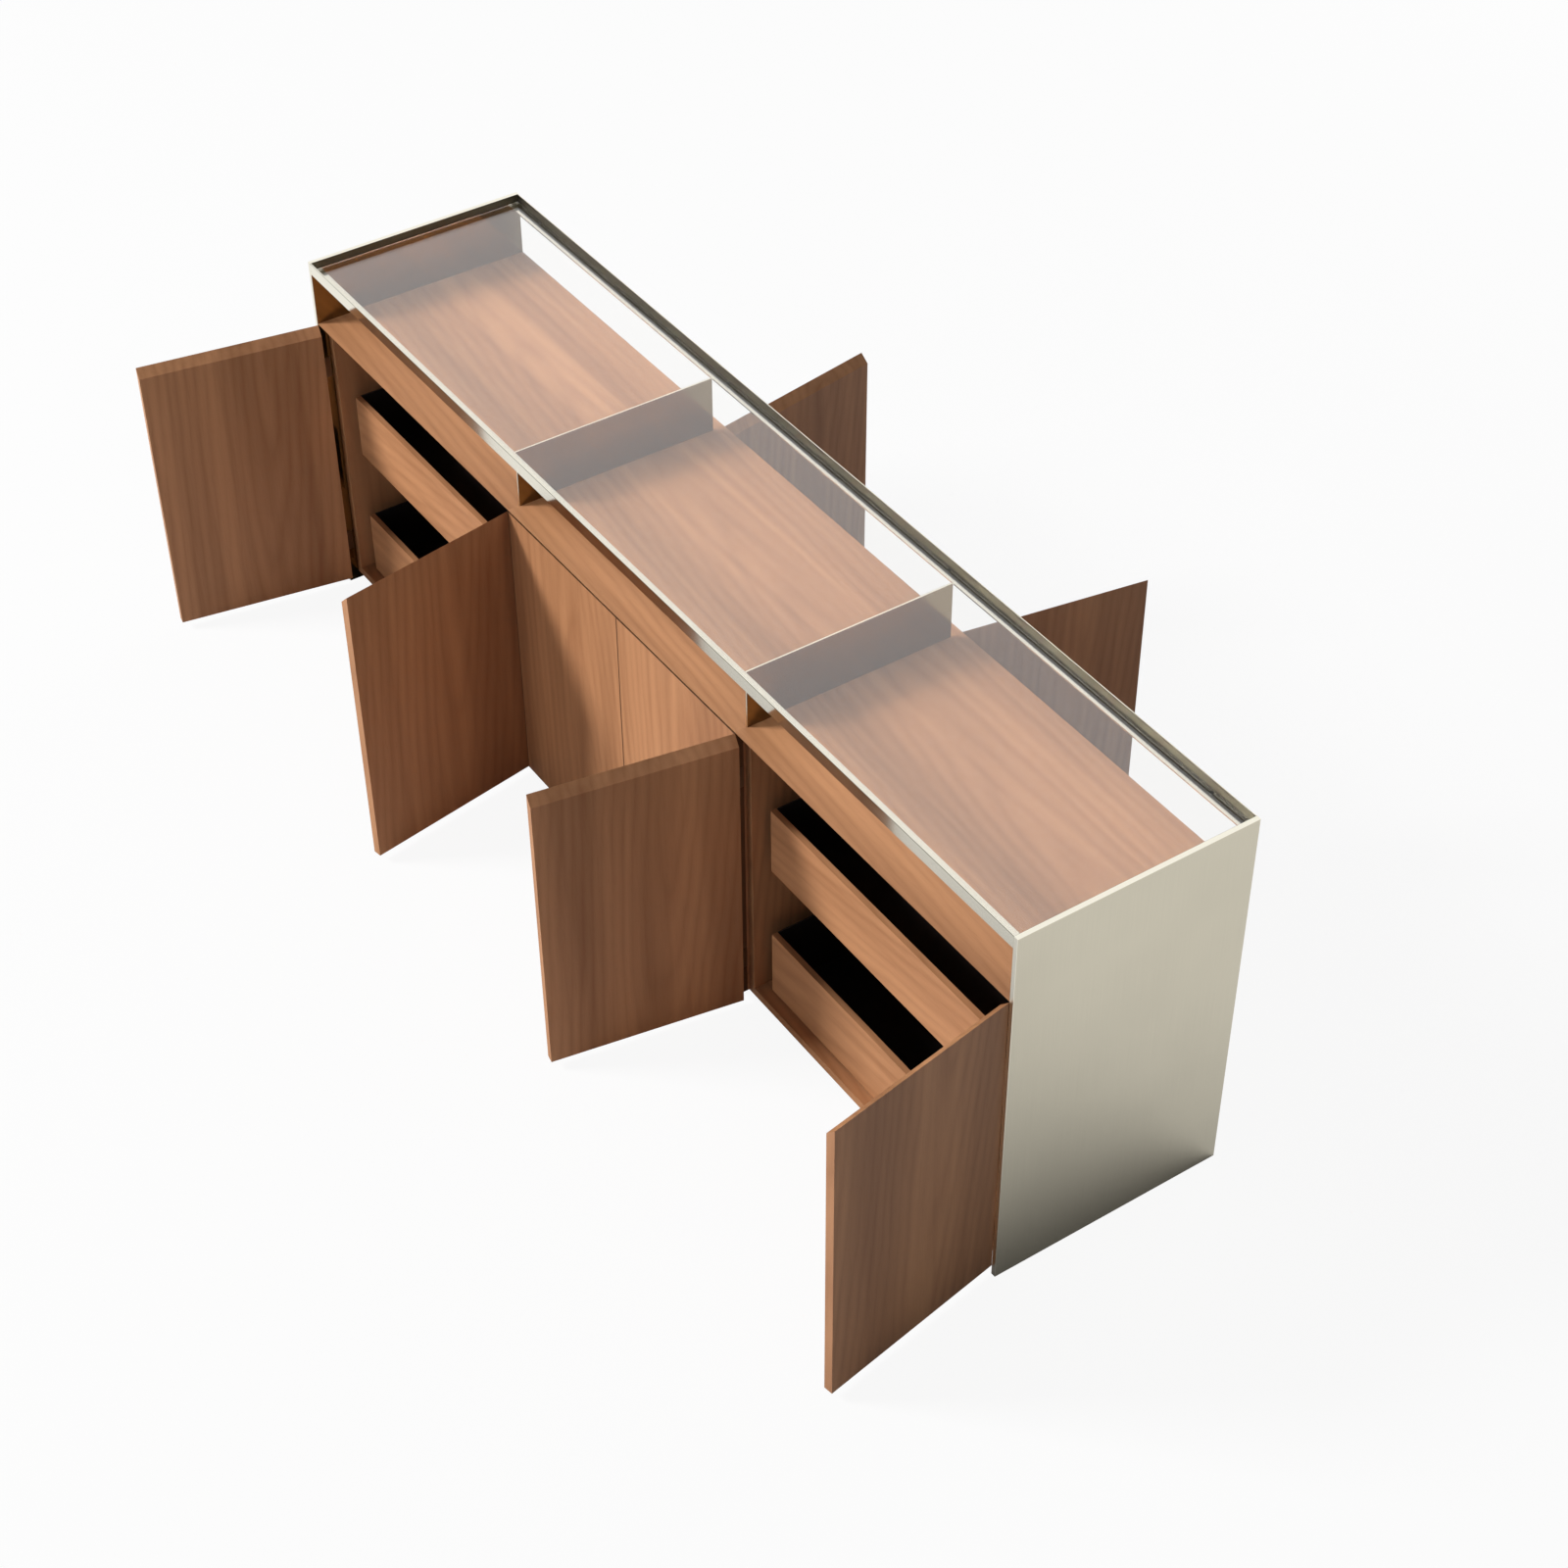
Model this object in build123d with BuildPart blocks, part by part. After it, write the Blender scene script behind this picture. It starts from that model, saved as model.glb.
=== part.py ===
"""A two-sided sideboard: three walnut cabinets between metal end panels, under an inset glass top.

Millimetres. The origin is on the floor under the centre, X runs along the length, the front face
looks to -Y and Z is up. The doors stand open and the drawers are pushed in.
"""
import os
from math import cos, radians, sin

from build123d import *

os.makedirs("parts", exist_ok=True)

# Whole object
length = 2400
depth = 495
height = 820
floor_gap = 20

# Metal frame
end_thickness = 10
end_ease = 0.8
rail_height = 26
rail_width = 25
rail_wall = 3
rail_ease = 0.6

# Glass and the open tray under it
glass_thickness = 6
glass_ease = 1
glass_gap = 1
pad_radius = 4
pad_thickness = 1
pad_inset = 100
pad_offset = 6
tray_clear = 119
divider_thickness = 4
divider_gap = 1
groove_depth = 8
groove_slack = 0.2

# Cabinet boards
board = 18
face_board = 18
mitre_gap = 3
door_setback = 4
seam_groove = 0.8
shelf_gap = 1
shelf_setback = 10

# Doors and their lift-off hinges
door_angle = 100
hinge_gap = 6
meeting_gap = 3
barrel_radius = 2
barrel_play = 0.4
pin_radius = 1
pin_running = 0.05
pin_short = 1
leaf_height = 48
leaf_thickness = 1
leaf_margin = 0.5
knuckle_gap = 0.5
leaf_inset = 90

# Drawers and their runners
drawer_height = 147
drawer_setback = 23.5
drawer_lift = 4
drawer_front = 12
tray_wall = 3
tray_back_gap = 29.5
batten_thickness = 13
batten_height = 40
runner_lift = 65
runner_set_in = 30
runner_back_gap = 10
runner_space = 13
channel_height = 36
channel_depth = 10
channel_wall = 1.5
runner_play = 0.5

# Feet and shelf pegs
foot_inset = 60
foot_reach = 165
foot_radius = 20
foot_pad = 5
foot_body = 24
foot_plate = 44
foot_plate_thickness = 3
peg_radius = 2.5
peg_length = 8
peg_tab = 10
peg_tab_width = 12
peg_tab_thickness = 3
peg_reach = 150
peg_slack = 0.3

# Derived positions
face = depth / 2
inner_half = length / 2 - end_thickness
cabinet_width = 2 * inner_half / 3
seam = cabinet_width / 2
rail_base = height - rail_height
ledge = rail_base + rail_wall
glass_base = ledge + pad_thickness
pad_spacing = 2 * (inner_half - pad_inset) / 3
pad_y = face - rail_wall - pad_offset
top_z = rail_base - tray_clear
carcass_top = top_z - board
face_top = top_z - mitre_gap
fixed_edge = face - face_board
door_edge = fixed_edge - door_setback
floor_top = floor_gap + board
inner_height = carcass_top - floor_top
shelf_z = floor_top + inner_height / 2
divider_half = face - rail_width - divider_gap
barrel_depth = barrel_radius + barrel_play
edge_offset = barrel_radius + barrel_play
barrel_offset = hinge_gap - edge_offset
door_width = (cabinet_width - 2 * hinge_gap - meeting_gap) / 2
drawer_y = -door_edge + drawer_setback
tray_y = drawer_y + drawer_front
tray_length = fixed_edge - tray_back_gap - tray_y
side_gap = batten_thickness + runner_space
runner_y = tray_y + runner_set_in
runner_length = tray_length - runner_set_in - runner_back_gap
knuckle_height = (leaf_height - knuckle_gap) / 2
leaf_back = face_board - barrel_depth - leaf_margin
leaf_levels = (floor_gap + leaf_inset, face_top - face_board - leaf_inset)
peg_points = [(reach, shelf_z - peg_radius) for reach in (-peg_reach, peg_reach)]

# Each cabinet: left boundary, right boundary, and the face it opens to (-1 front, 1 back)
cabinets = {
    "left": (-inner_half, -seam, -1),
    "middle": (-seam, seam, 1),
    "right": (seam, inner_half, -1),
}

# Each door: face its hinge is fixed to, direction from there along the closed door, and its side
doors = {
    "left_outer": (-inner_half, 1, -1),
    "left_inner": (-seam, -1, -1),
    "right_inner": (seam, 1, -1),
    "right_outer": (inner_half, -1, -1),
    "rear_left": (-seam, 1, 1),
    "rear_right": (seam, -1, 1),
}


def save(piece, name):
    """Label a finished piece and write it."""
    piece.part.label = name
    export_step(piece.part, f"parts/{name}.step")


def make_board(name, x_span, y_span, z_span):
    """A plain board that fills the three spans."""
    with BuildPart() as plain_board:
        with BuildSketch(Plane.XY.offset(z_span[0])):
            with Locations((sum(x_span) / 2, sum(y_span) / 2)):
                Rectangle(x_span[1] - x_span[0], y_span[1] - y_span[0])
        extrude(amount=z_span[1] - z_span[0])
    save(plain_board, name)


def depth_span(opens):
    """Y span of a carcass board: set back behind doors, up against fixed panels."""
    return tuple(sorted((opens * door_edge, -opens * fixed_edge)))


def make_end_panel(name, end):
    """Metal end plate with eased outer edges."""
    with BuildPart() as end_panel:
        with BuildSketch(Plane.YZ.offset(end * inner_half)):
            with Locations((0, height / 2)):
                Rectangle(depth, height)
        extrude(amount=end * end_thickness)
        outer_face = end_panel.faces().sort_by(Axis.X)[-1 if end > 0 else 0]
        chamfer(outer_face.edges().sort_by(Axis.Z)[1:], end_ease)
    save(end_panel, name)


def make_rail(name, side):
    """Metal angle between the end panels: upright leg on the outside, glass ledge on the inside."""
    outer = side * face
    with BuildPart() as rail:
        with BuildSketch(Plane.YZ.offset(-inner_half)):
            with BuildLine():
                Polyline(
                    (outer, rail_base),
                    (outer, height),
                    (outer - side * rail_wall, height),
                    (outer - side * rail_wall, ledge),
                    (outer - side * rail_width, ledge),
                    (outer - side * rail_width, rail_base),
                    close=True,
                )
            make_face()
        extrude(amount=2 * inner_half)
        chamfer(rail.edges().filter_by(Axis.X).group_by(Axis.Z)[-1], rail_ease)
    save(rail, name)


def make_divider(name, x):
    """Thin metal plate from the groove between two wooden tops to just under the glass."""
    half = divider_thickness / 2
    make_board(
        name,
        (x - half, x + half),
        (-divider_half, divider_half),
        (top_z - groove_depth, ledge),
    )


def make_cabinet_top(name, x_span):
    """Wooden top, mitred at the front and back, with half of each divider's groove in its ends."""
    with BuildPart() as cabinet_top:
        with BuildSketch(Plane.YZ.offset(x_span[0])):
            with BuildLine():
                Polyline(
                    (-face, top_z),
                    (face, top_z),
                    (face - board, carcass_top),
                    (board - face, carcass_top),
                    close=True,
                )
            make_face()
        extrude(amount=x_span[1] - x_span[0])
        with BuildSketch(Plane.XY.offset(top_z)):
            with Locations((-seam, 0), (seam, 0)):
                Rectangle(divider_thickness + 2 * groove_slack, 2 * (divider_half + groove_slack))
        extrude(amount=-groove_depth, mode=Mode.SUBTRACT)
    save(cabinet_top, name)


def make_middle_cabinet_side(name, inner_x, outward, opens):
    """Side of the middle cabinet, bored on its inner face for the shelf pegs."""
    y_span = depth_span(opens)
    inner = Plane.YZ.offset(inner_x)
    with BuildPart() as middle_cabinet_side:
        with BuildSketch(inner):
            with Locations((sum(y_span) / 2, (floor_gap + carcass_top) / 2)):
                Rectangle(y_span[1] - y_span[0], carcass_top - floor_gap)
        extrude(amount=outward * board)
        with BuildSketch(inner):
            with Locations(*peg_points):
                Circle(peg_radius + peg_slack)
        extrude(amount=outward * (peg_length + peg_slack), mode=Mode.SUBTRACT)
    save(middle_cabinet_side, name)


def make_fixed_panel(name, x_span, side, meeting):
    """Fixed face panel, mitred along its top like a closed door, eased where it meets its neighbour."""
    with BuildPart() as fixed_panel:
        with BuildSketch(Plane.YZ.offset(x_span[0])):
            with BuildLine():
                Polyline(
                    (side * face, floor_gap),
                    (side * face, face_top),
                    (side * fixed_edge, face_top - face_board),
                    (side * fixed_edge, floor_gap),
                    close=True,
                )
            make_face()
        extrude(amount=x_span[1] - x_span[0])
        outer_face = fixed_panel.faces().sort_by(Axis.Y)[0 if side < 0 else -1]
        chamfer(outer_face.edges().sort_by(Axis.X)[-1 if meeting > 0 else 0], seam_groove)
    save(fixed_panel, name)


def hinge_axis(fixed_x, toward, side):
    """Plan position of a hinge pin, just behind the face in the gap beside the door."""
    return fixed_x + toward * barrel_offset, side * (face - barrel_depth)


def hinge_plane(door, z, opened):
    """Plane on a hinge axis: x runs along the door, y times the hand runs to its inner face."""
    fixed_x, toward, side = doors[door]
    axis_x, axis_y = hinge_axis(fixed_x, toward, side)
    turn = radians((0 if toward > 0 else 180) - door_hand(door) * opened)
    return Plane((axis_x, axis_y, z), x_dir=(cos(turn), sin(turn), 0), z_dir=(0, 0, 1))


def door_hand(door):
    """1 where the inner face is to the left of the door's run from its hinge, -1 to the right."""
    return -doors[door][1] * doors[door][2]


def make_door(name, door):
    """Door board in its open place, mitred along the top so that it closes under the wooden top."""
    hand = door_hand(door)
    swing = hinge_plane(door, 0, door_angle)
    inward = swing.y_dir * hand
    section = Plane(
        swing.origin + swing.x_dir * edge_offset, x_dir=inward, z_dir=swing.x_dir * hand
    )
    with BuildPart() as door_board:
        with BuildSketch(section):
            with BuildLine():
                Polyline(
                    (-barrel_depth, floor_gap),
                    (-barrel_depth, face_top),
                    (face_board - barrel_depth, face_top - face_board),
                    (face_board - barrel_depth, floor_gap),
                    close=True,
                )
            make_face()
        extrude(amount=hand * door_width)
    save(door_board, name)


def leaf_rectangle(x_span, y_span, hand):
    """Rectangle in a hinge plane, with y measured toward the inner face."""
    with Locations((sum(x_span) / 2, hand * sum(y_span) / 2)):
        Rectangle(x_span[1] - x_span[0], y_span[1] - y_span[0])


def make_door_leaves(name, door):
    """Hinge leaves on the door's edge, each with the upper knuckle of its hinge."""
    hand = door_hand(door)
    plate = (edge_offset - leaf_thickness, edge_offset)
    with BuildPart() as door_leaves:
        for level in leaf_levels:
            with BuildSketch(hinge_plane(door, level - leaf_height / 2, door_angle)):
                leaf_rectangle(plate, (edge_offset, leaf_back), hand)
            extrude(amount=leaf_height)
            with BuildSketch(hinge_plane(door, level + knuckle_gap / 2, door_angle)):
                Circle(barrel_radius)
                leaf_rectangle(plate, (0, edge_offset), hand)
                Circle(pin_radius + pin_running, mode=Mode.SUBTRACT)
            extrude(amount=knuckle_height)
    save(door_leaves, name)


def make_frame_leaves(name):
    """Fixed hinge leaves beside the doors, each with the lower knuckle and the pin of its hinge."""
    plate = (-barrel_offset, leaf_thickness - barrel_offset)
    with BuildPart() as frame_leaves:
        for door in doors:
            hand = door_hand(door)
            for level in leaf_levels:
                with BuildSketch(hinge_plane(door, level - leaf_height / 2, 0)):
                    leaf_rectangle(plate, (edge_offset, leaf_back), hand)
                extrude(amount=leaf_height)
                with BuildSketch(hinge_plane(door, level - leaf_height / 2, 0)):
                    Circle(barrel_radius)
                    leaf_rectangle((-barrel_offset, 0), (0, edge_offset), hand)
                extrude(amount=knuckle_height)
                with BuildSketch(hinge_plane(door, level - knuckle_gap / 2, 0)):
                    Circle(pin_radius)
                extrude(amount=knuckle_gap + knuckle_height - pin_short)
    save(frame_leaves, name)


def make_feet(name):
    """Levelling feet: a round pad, a six-sided body and a square plate under the cabinet bottom."""
    with BuildPart() as feet:
        for left, right, opens in cabinets.values():
            ends = (left + board + foot_inset, right - board - foot_inset)
            spots = [(x, y) for x in ends for y in (-foot_reach, foot_reach)]
            with BuildSketch():
                with Locations(*spots):
                    Circle(foot_radius)
            extrude(amount=foot_pad)
            with BuildSketch(Plane.XY.offset(foot_pad)):
                with Locations(*spots):
                    RegularPolygon(foot_body / 2, 6, major_radius=False)
            extrude(amount=floor_gap - foot_pad)
            with BuildSketch(Plane.XY.offset(floor_gap - foot_plate_thickness)):
                with Locations(*spots):
                    Rectangle(foot_plate, foot_plate)
            extrude(amount=foot_plate_thickness)
    save(feet, name)


def make_shelf_pegs(name):
    """Shelf pegs: a round stem in the side board and a flat tab under the shelf."""
    with BuildPart() as shelf_pegs:
        for end in (-1, 1):
            wall = Plane.YZ.offset(end * (seam - board))
            with BuildSketch(wall):
                with Locations(*peg_points):
                    Circle(peg_radius)
            extrude(amount=end * peg_length)
            with BuildSketch(wall):
                with Locations(*[(y, shelf_z - peg_tab_thickness / 2) for y, z in peg_points]):
                    Rectangle(peg_tab_width, peg_tab_thickness)
            extrude(amount=-end * peg_tab)
    save(shelf_pegs, name)


def drawer_level(drawer):
    """Underside of an upper or lower drawer."""
    return floor_top + drawer_lift + (inner_height / 2 if drawer == "upper" else 0)


def drawer_spots():
    """Inner face, direction into the cabinet and runner level for every runner."""
    spots = []
    for cabinet in ("left", "right"):
        left, right, opens = cabinets[cabinet]
        for drawer in ("upper", "lower"):
            level = drawer_level(drawer) + runner_lift
            spots.append((left + board, 1, level))
            spots.append((right - board, -1, level))
    return spots


def channel_profile(web_x, outward, reach, tall, wall):
    """Closed outline of a C section: web at web_x, lips reaching outward."""
    half = tall / 2
    Polyline(
        (web_x, -half),
        (web_x, half),
        (web_x + outward * reach, half),
        (web_x + outward * reach, half - wall),
        (web_x + outward * wall, half - wall),
        (web_x + outward * wall, wall - half),
        (web_x + outward * reach, wall - half),
        (web_x + outward * reach, -half),
        close=True,
    )


def make_battens(name):
    """Battens on the cabinet sides that carry the runner channels."""
    with BuildPart() as battens:
        for inner_x, inward, level in drawer_spots():
            with BuildSketch(Plane.XY.offset(level - batten_height / 2)):
                with Locations((inner_x + inward * batten_thickness / 2, runner_y + runner_length / 2)):
                    Rectangle(batten_thickness, runner_length)
            extrude(amount=batten_height)
    save(battens, name)


def make_channels(name):
    """Fixed outer channels of the drawer runners."""
    with BuildPart() as channels:
        for inner_x, inward, level in drawer_spots():
            web_x = inner_x + inward * batten_thickness
            start = Plane((0, runner_y, level), x_dir=(1, 0, 0), z_dir=(0, -1, 0))
            with BuildSketch(start):
                with BuildLine():
                    channel_profile(web_x, inward, channel_depth, channel_height, channel_wall)
                make_face()
            extrude(amount=-runner_length)
    save(channels, name)


def make_drawer_rails(name, cabinet, drawer):
    """Pair of inner runner rails on a drawer tray, each running inside its channel."""
    left, right, opens = cabinets[cabinet]
    level = drawer_level(drawer) + runner_lift
    tall = channel_height - 2 * channel_wall - 2 * runner_play
    reach = runner_space - channel_wall - runner_play
    with BuildPart() as drawer_rails:
        for wall_x, outward in ((left + board + side_gap, -1), (right - board - side_gap, 1)):
            with BuildSketch(Plane((0, runner_y, level), x_dir=(1, 0, 0), z_dir=(0, -1, 0))):
                with BuildLine():
                    channel_profile(wall_x, outward, reach, tall, channel_wall)
                make_face()
            extrude(amount=-runner_length)
    save(drawer_rails, name)


def make_tray(name, x_span, level):
    """Black drawer tray: base, two sides and a back, open at the front where the wooden front sits."""
    width = x_span[1] - x_span[0]
    middle = sum(x_span) / 2
    with BuildPart() as tray:
        with BuildSketch(Plane.XY.offset(level)):
            with Locations((middle, tray_y + tray_length / 2)):
                Rectangle(width, tray_length)
        extrude(amount=drawer_height)
        with BuildSketch(Plane.XY.offset(level + tray_wall)):
            with Locations((middle, tray_y + (tray_length - tray_wall) / 2)):
                Rectangle(width - 2 * tray_wall, tray_length - tray_wall)
        extrude(amount=drawer_height - tray_wall, mode=Mode.SUBTRACT)
    save(tray, name)


# Metal frame, glass and dividers
make_end_panel("left_end_panel", -1)
make_end_panel("right_end_panel", 1)
make_rail("front_rail", -1)
make_rail("back_rail", 1)
make_divider("left_divider", -seam)
make_divider("right_divider", seam)

# Clear pads that keep the glass off the metal ledges
with BuildPart() as glass_pads:
    with BuildSketch(Plane.XY.offset(ledge)):
        with GridLocations(pad_spacing, 2 * pad_y, 4, 2):
            Circle(pad_radius)
    extrude(amount=pad_thickness)
save(glass_pads, "glass_pads")

with BuildPart() as glass_top:
    with BuildSketch(Plane.XY.offset(glass_base)):
        Rectangle(2 * (inner_half - glass_gap), 2 * (face - rail_wall - glass_gap))
    extrude(amount=glass_thickness)
    chamfer(glass_top.faces().sort_by(Axis.Z)[-1].edges(), glass_ease)
save(glass_top, "glass_top")

# Cabinet boards
for cabinet, (left, right, opens) in cabinets.items():
    y_span = depth_span(opens)
    inner_span = (left + board, right - board)
    make_cabinet_top(f"{cabinet}_cabinet_top", (left, right))
    make_board(f"{cabinet}_cabinet_bottom", inner_span, y_span, (floor_gap, floor_top))
    if cabinet == "middle":
        make_middle_cabinet_side("middle_cabinet_left_side", inner_span[0], -1, opens)
        make_middle_cabinet_side("middle_cabinet_right_side", inner_span[1], 1, opens)
    else:
        z_span = (floor_gap, carcass_top)
        make_board(f"{cabinet}_cabinet_left_side", (left, inner_span[0]), y_span, z_span)
        make_board(f"{cabinet}_cabinet_right_side", (inner_span[1], right), y_span, z_span)
    centre = (left + right) / 2
    make_fixed_panel(f"{cabinet}_fixed_left_panel", (left, centre), -opens, 1)
    make_fixed_panel(f"{cabinet}_fixed_right_panel", (centre, right), -opens, -1)

shelf_half = seam - board - shelf_gap
make_board(
    "middle_shelf",
    (-shelf_half, shelf_half),
    (shelf_gap - fixed_edge, door_edge - shelf_setback),
    (shelf_z, shelf_z + board),
)
make_shelf_pegs("shelf_pegs")
make_feet("levelling_feet")

# Doors and hinges
make_frame_leaves("hinge_frame_leaves")
for door in doors:
    make_door(f"{door}_door", door)
    make_door_leaves(f"{door}_door_leaves", door)

# Drawers and runners
make_battens("runner_battens")
make_channels("runner_channels")
for cabinet in ("left", "right"):
    left, right, opens = cabinets[cabinet]
    drawer_span = (left + board + side_gap, right - board - side_gap)
    for drawer in ("upper", "lower"):
        level = drawer_level(drawer)
        make_board(
            f"{cabinet}_{drawer}_drawer_front",
            drawer_span,
            (drawer_y, tray_y),
            (level, level + drawer_height),
        )
        make_tray(f"{cabinet}_{drawer}_drawer_tray", drawer_span, level)
        make_drawer_rails(f"{cabinet}_{drawer}_drawer_rails", cabinet, drawer)
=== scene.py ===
import math
from typing import NamedTuple

import bpy
import numpy as np
from mathutils import Euler, Matrix, Vector


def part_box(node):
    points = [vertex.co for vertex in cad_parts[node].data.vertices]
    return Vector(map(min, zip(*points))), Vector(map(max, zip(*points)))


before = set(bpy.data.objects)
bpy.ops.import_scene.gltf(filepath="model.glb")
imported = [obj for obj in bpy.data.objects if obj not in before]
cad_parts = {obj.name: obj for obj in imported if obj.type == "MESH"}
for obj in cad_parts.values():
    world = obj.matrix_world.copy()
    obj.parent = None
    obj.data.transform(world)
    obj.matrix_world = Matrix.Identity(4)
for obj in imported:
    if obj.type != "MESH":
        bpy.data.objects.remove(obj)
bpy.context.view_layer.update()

bl_info = {
    "name": "Two-sided Sideboard",
    "version": (1, 0, 0),
    "blender": (4, 5, 0),
    "location": "3D View > Sidebar > Sideboard",
    "description": "Finishes a walnut sideboard with a metal frame and a glass top, and its studio",
    "category": "Object",
}

SIDES = ("left", "right")
CABINETS = ("left", "middle", "right")
DOORS = ("left_outer", "left_inner", "right_inner", "right_outer", "rear_left", "rear_right")
DRAWERS = ("left_upper", "left_lower", "right_upper", "right_lower")

# Axes that grain and brush lines follow
X, Y, Z = range(3)

# Sockets of a Mix node that mixes colours
MIX_INPUTS = (0, 6, 7)
MIX_RESULT = 2

# Walnut: width across the grain and run along it of each noise, in metres
RING_BEND = (0.09, 0.55)
RING_FADE = (0.07, 0.45)
BROAD_BAND = (0.11, 2.2)
STREAK_RUN = 0.9
PORE_RUN = 0.03

# How far the rings bend, in half rings, and the most that they cover the streaks
BEND_RINGS = 4.0
MOST_RINGS = 0.80

# Tint of the dark broad bands, and the grey of the pores and of the painted shade along a leaf's
# edges
BAND_TINT = (0.74, 0.71, 0.69, 1)
PORE_GREY = 0.91
SEAM_SHADE_GREY = 0.30

# Specular level of the lacquer
LACQUER = 0.30

# Piths, in metres: of the boards that share a log, and of a leaf, measured from its middle
UPRIGHT_PITH = (0.35, 0.60, 0.1)
LEVEL_PITH = (0.2, 0.55, -0.30)
BATTEN_PITH = (0.9, 0.3, -0.2)
PITH_ASIDE = {Z: Vector((0.045, 0.045, 0.0)), X: Vector((0.0, 0.06, -0.05))}

# Width of the painted shade line along a fixed leaf's edges, where its seams and gaps are, in
# metres
SEAM_SHADE_WIDTH = 0.0025

# Metal: scales of the brush lines and of the slow clouds
BRUSH_ALONG = 6
BRUSH_ACROSS = 900
CLOUDS = (5, 5, 5)

# How far the roughness spreads on satin and on polished metal, and the small parts' roughness
SATIN_SPREAD = 0.06
POLISHED_SPREAD = 0.03
HINGE_ROUGHNESS = 0.38
RUNNER_ROUGHNESS = 0.34

# How deep a face's own finish goes into the edges beside it, in metres
SKIN = 0.0002

# Factors for the roughness of the faces that get painted shade, and of the plates' and rails' faces
# above the glass
SHADED_FACE_POLISH = 0.5
PLATE_RIM = 1.4
RAIL_RIM = 4.5

# Play between the glass and the rails, in metres
GLASS_GAP = 0.001

# Glass: indices of refraction, and the share of lamp light that it lets through
GLASS_IOR = 1.5
COAT_IOR = 1.9
LAMP_SHARE = 0.78

# Powder coat: scales of the orange peel and of the scuffs
PEEL = (700, 700, 700)
SCUFFS = (9, 9, 9)

# Colour and roughness of the coated pieces
PADS = ((0.12, 0.12, 0.115, 1), 0.6)
TRAY = ((0.014, 0.013, 0.013, 1), 0.45)
FOOT = ((0.020, 0.020, 0.021, 1), 0.5)

# Floor: half its width in metres, points along a side and the grey of its paint
FLOOR_HALF = 45.0
FLOOR_POINTS = 9
FLOOR_GREY = 0.72

# Share of plain white in the floor that the camera sees, and in the floor that metal and glass see
SEEN_WHITE = 0.92
MIRRORED_WHITE = 0.90

# Shade near the object that metal and glass see on the floor: its reach in metres, how open the
# floor is where the shade is full and where it ends, and the white beyond it
NEAR_REACH = 1.2
NEAR_OPEN = (0.45, 0.905)
FAR_WHITE = 0.92
NEAR_SAMPLES = 8

# Dark patch that metal and glass see in the sky: its middle, the cosines of its edge and its level
PATCH_MIDDLE = Vector((-0.45, -0.55, 0.70)).normalized()
PATCH_EDGE = (0.68, 0.92)
PATCH_LEVEL = 0.06

# Lamps: name, the setting with the power, size and place in metres
LAMPS = (
    ("key", "key", 3.2, Vector((-6.4, -9.76, 9.04))),
    ("side fill", "fill", 8.0, Vector((12.0, -2.0, 7.6))),
    ("front fill", "front", 5.0, Vector((1.5, -10.0, 3.0))),
    ("back fill", "back", 4.0, Vector((-1.5, 7.0, 2.4))),
)
LAMP_AIM = Vector((0, 0, 0.4))

# Camera: width of the sensor in millimetres and depth of the view in metres
SENSOR_WIDTH = 36.0
VIEW_DEPTH = 100.0


class Faces(NamedTuple):
    """The faces of a plate that look along one axis and get painted shade and a roughness of their
    own.

    They lie at a reach from a plane, on either half of the object: | |p| - plane | >= reach. Below
    and above a height each has a tint, which paints shade on the face, and a factor for the
    roughness. The narrow edges between the faces may have a colour too, from a depth on that is
    measured from the plane.
    """

    axis: str
    plane: float
    reach: float
    height: float
    below: tuple
    above: tuple
    edge_depth: float = 0.0
    edge_colour: tuple = None


# Settings


class WalnutSettings(bpy.types.PropertyGroup):
    """Colour and figure of the walnut veneer."""

    pale: bpy.props.FloatVectorProperty(
        name="Pale wood",
        description="Colour between the dark streaks",
        subtype="COLOR",
        size=4,
        min=0,
        max=1,
        default=(0.505, 0.250, 0.121, 1),
    )
    dark: bpy.props.FloatVectorProperty(
        name="Dark streaks",
        description="Colour of the late wood",
        subtype="COLOR",
        size=4,
        min=0,
        max=1,
        default=(0.365, 0.168, 0.078, 1),
    )
    streak: bpy.props.FloatProperty(
        name="Streak width",
        description="Usual width of a streak across the grain",
        subtype="DISTANCE",
        unit="LENGTH",
        default=0.030,
    )
    fibre: bpy.props.FloatProperty(
        name="Fibre width",
        description="Width of one pore line across the grain",
        subtype="DISTANCE",
        unit="LENGTH",
        default=0.0011,
    )
    ring: bpy.props.FloatProperty(
        name="Ring width",
        description="Width of half a growth ring",
        subtype="DISTANCE",
        unit="LENGTH",
        default=0.010,
    )
    lean: bpy.props.FloatProperty(
        name="Lean",
        description="Angle between the log's pith and the board",
        subtype="ANGLE",
        default=math.radians(4.5),
    )
    gloss: bpy.props.FloatProperty(
        name="Roughness",
        description="Mean roughness of the satin lacquer",
        min=0,
        max=1,
        default=0.48,
    )


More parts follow.
